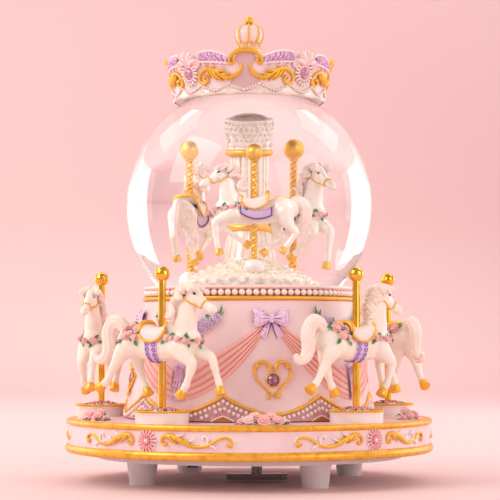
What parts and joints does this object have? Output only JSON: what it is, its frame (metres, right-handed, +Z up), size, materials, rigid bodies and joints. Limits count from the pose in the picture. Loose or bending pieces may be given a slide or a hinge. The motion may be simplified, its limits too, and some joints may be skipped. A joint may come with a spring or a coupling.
{
  "type": "carousel music box",
  "caption": "Wind-up carousel music box: horses on a turntable round a drum, a water globe with a counter-rotating carousel and a crown canopy on top.",
  "frame": {"origin": "centre of the base, on the surface that the feet stand on", "axes": "+Z up along the axis of the turntable and the globe, -Y towards the front, +X to the right seen from the front"},
  "size_m": [0.1488, 0.1488, 0.1891],
  "materials": {
    "pink_resin": "satin",
    "white_resin": "satin",
    "horse_resin": "gloss",
    "gold_paint": "satin",
    "lilac_paint": "satin",
    "rose_paint": "satin",
    "pearl": "gloss",
    "gem": "gloss",
    "base_plastic": "satin",
    "glass": "clear",
    "rubber": "matte",
    "steel": "brushed",
    "chrome": "polished",
    "brass": "polished",
    "black_plastic": "satin",
    "circuit_board": "satin"
  },
  "bodies": {
    "root": {"bottom_plate": "base_plastic", "feet": "base_plastic", "screws": "steel", "battery_door": "base_plastic", "battery_cells": "steel", "chassis": "base_plastic", "drum_shell": "pink_resin", "drum_trim": "gold_paint", "drum_pearls": "pearl", "drapery": "rose_paint", "ribbon_bows": "lilac_paint", "heart_frames": "gold_paint", "heart_gems": "gem", "wall_bouquets": "lilac_paint", "glass_globe": "glass", "globe_stopper": "rubber", "pivot_pin": "steel", "crown_canopy": "pink_resin", "crown_scrolls": "gold_paint", "crown_leaves": "lilac_paint", "gem_frames": "rose_paint", "crown_gems": "gem", "finial_crown": "white_resin", "movement_bedplate": "steel", "spring_housing": "steel", "mainspring": "steel", "comb": "steel", "led_board": "circuit_board", "switch_body": "black_plastic"},
    "turntable": {"turntable": "white_resin", "rim_band": "white_resin", "ring_gear": "base_plastic", "rim_ornaments": "gold_paint", "pedestals": "white_resin", "outer_poles": "gold_paint", "outer_horse_1": "horse_resin", "outer_horse_2": "horse_resin", "outer_horse_3": "horse_resin", "outer_horse_4": "horse_resin", "outer_horse_5": "horse_resin", "outer_saddles": "rose_paint", "rose_clusters": "rose_paint"},
    "inner_carousel": {"inner_mound": "white_resin", "column": "pearl", "column_rings": "gold_paint", "inner_poles": "gold_paint", "inner_horse_1": "pearl", "inner_horse_2": "pearl", "inner_horse_3": "pearl", "inner_saddles": "lilac_paint", "follower_magnets": "steel"},
    "winding_key": {"winding_key": "chrome", "winding_arbor": "brass"},
    "pin_cylinder": {"pin_cylinder": "brass"},
    "governor_fan": {"governor_fan": "brass"},
    "transfer_shaft": {"transfer_shaft": "base_plastic"},
    "magnet_driver": {"magnet_driver": "base_plastic", "driver_magnets": "steel"},
    "light_switch": {"switch_knob": "black_plastic"}
  },
  "joints": [
    {"name": "turntable_spin", "type": "hinge", "parent": "root", "child": "turntable", "pos_m": [0, 0, 0.0252], "axis": [0, 0, 1], "continuous": true},
    {"name": "inner_carousel_spin", "type": "hinge", "parent": "root", "child": "inner_carousel", "pos_m": [0, 0, 0.078], "axis": [0, 0, 1], "continuous": true},
    {"name": "key_turn", "type": "hinge", "parent": "root", "child": "winding_key", "pos_m": [0.003, -0.012, 0.013], "axis": [0, 0, 1], "continuous": true},
    {"name": "cylinder_spin", "type": "hinge", "parent": "root", "child": "pin_cylinder", "pos_m": [0.003, 0.0014, 0.0436], "axis": [0, 1, 0], "continuous": true},
    {"name": "fan_spin", "type": "hinge", "parent": "root", "child": "governor_fan", "pos_m": [0.013, 0.0202, 0.0436], "axis": [0, 1, 0], "continuous": true},
    {"name": "transfer_spin", "type": "hinge", "parent": "root", "child": "transfer_shaft", "pos_m": [0.02697, -0.01313, 0.02], "axis": [0, 0, 1], "continuous": true},
    {"name": "driver_spin", "type": "hinge", "parent": "root", "child": "magnet_driver", "pos_m": [0, 0, 0.06], "axis": [0, 0, 1], "continuous": true},
    {"name": "switch_slide", "type": "slide", "parent": "root", "child": "light_switch", "axis": [1, 0, 0], "range_m": [0, 0.002]}
  ],
  "couplings": [
    {"joint": "inner_carousel_spin", "follows": "turntable_spin", "ratio": -0.78571},
    {"joint": "driver_spin", "follows": "turntable_spin", "ratio": -0.78571},
    {"joint": "transfer_spin", "follows": "turntable_spin", "ratio": 3.5},
    {"joint": "key_turn", "follows": "turntable_spin", "ratio": -3.5},
    {"joint": "cylinder_spin", "follows": "turntable_spin", "ratio": -7},
    {"joint": "fan_spin", "follows": "turntable_spin", "ratio": 21}
  ]
}
